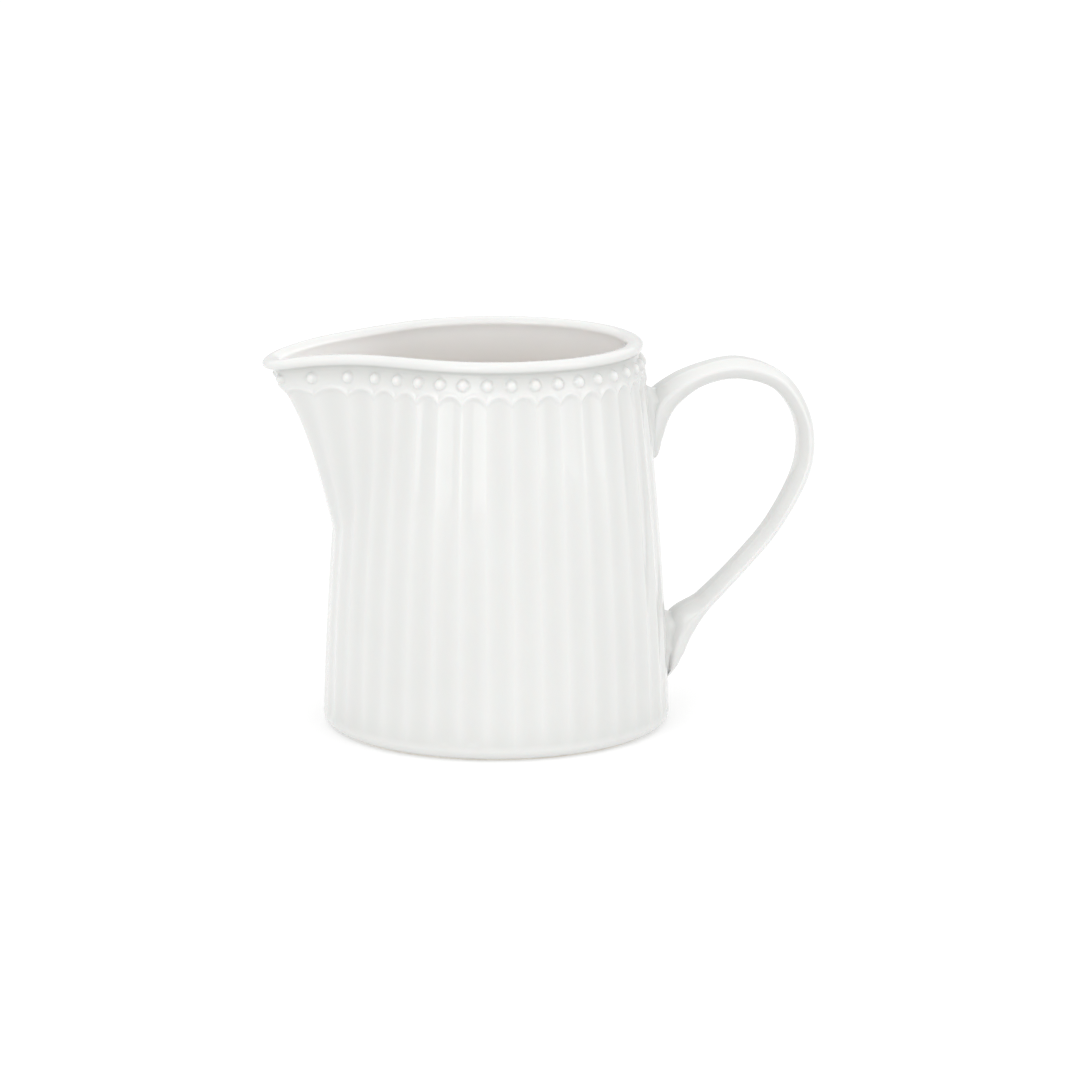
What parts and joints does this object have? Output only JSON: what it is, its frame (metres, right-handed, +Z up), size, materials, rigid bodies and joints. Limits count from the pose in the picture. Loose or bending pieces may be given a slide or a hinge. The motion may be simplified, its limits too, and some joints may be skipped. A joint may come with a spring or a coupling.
{
  "type": "cream jug",
  "caption": "Small fluted porcelain cream jug with a pulled pouring spout, rolled rim over a row of pearls, and a loop handle.",
  "frame": {"origin": "middle of the underside of the jug's box, on the plane it stands on; the jug's own upright axis is 11.3 mm from it towards -X", "axes": "+Z up, +X towards the handle, -X towards the spout, +Y to the left of someone looking along +X"},
  "size_m": [0.1356, 0.0852, 0.0948],
  "materials": {
    "glazed_porcelain": "clear gloss glaze over white porcelain",
    "bare_porcelain": "unglazed, fine dry bisque"
  },
  "bodies": {
    "root": {"jug_body": "glazed_porcelain", "foot_ring": "bare_porcelain", "handle": "glazed_porcelain", "handle_upper_joint": "glazed_porcelain", "handle_lower_joint": "glazed_porcelain"}
  },
  "joints": []
}
